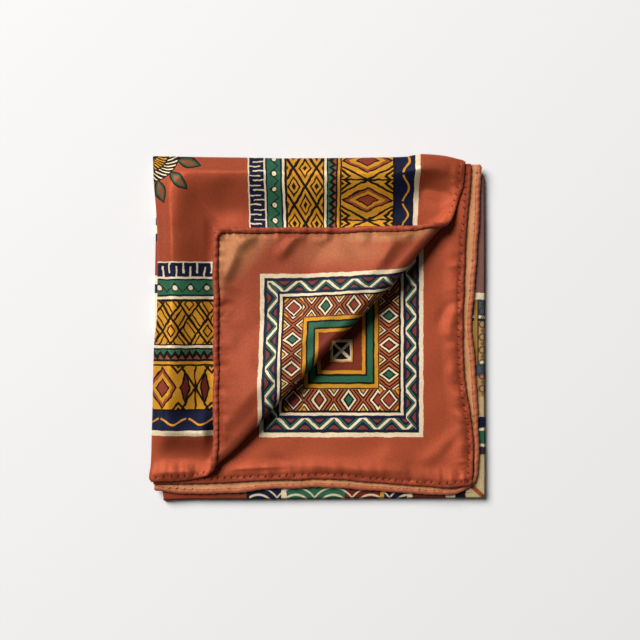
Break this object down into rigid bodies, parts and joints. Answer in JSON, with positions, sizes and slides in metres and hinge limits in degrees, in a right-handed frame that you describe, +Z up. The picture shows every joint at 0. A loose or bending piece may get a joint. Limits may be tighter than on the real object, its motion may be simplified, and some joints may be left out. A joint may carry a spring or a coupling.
{
  "type": "folded silk square scarf",
  "caption": "Silk square scarf folded flat into a square packet, the top leaf's corner turned back in a soft roll to show its reverse, with hand-rolled hems.",
  "frame": {"origin": "on the surface that the folded scarf lies on, under the middle of its outline", "axes": "+Z up out of the surface, +X towards the packet's right side and +Y towards its top side as seen from above"},
  "size_m": [0.2242, 0.2311, 0.0285],
  "materials": {
    "printed_silk": "satin silk twill, terracotta ground with a geometric border",
    "printed_silk_folds": "edges of folded printed silk twill",
    "silk_reverse": "duller tan reverse of the silk twill",
    "hem_silk": "hand-rolled and slip-stitched silk hem"
  },
  "bodies": {
    "root": {"lower_fold_stack": "printed_silk_folds", "leaf_three": "silk_reverse", "leaf_three_hem": "hem_silk", "leaf_two": "printed_silk", "leaf_two_hem": "hem_silk", "leaf_one": "printed_silk", "leaf_one_hem": "hem_silk"}
  },
  "joints": []
}
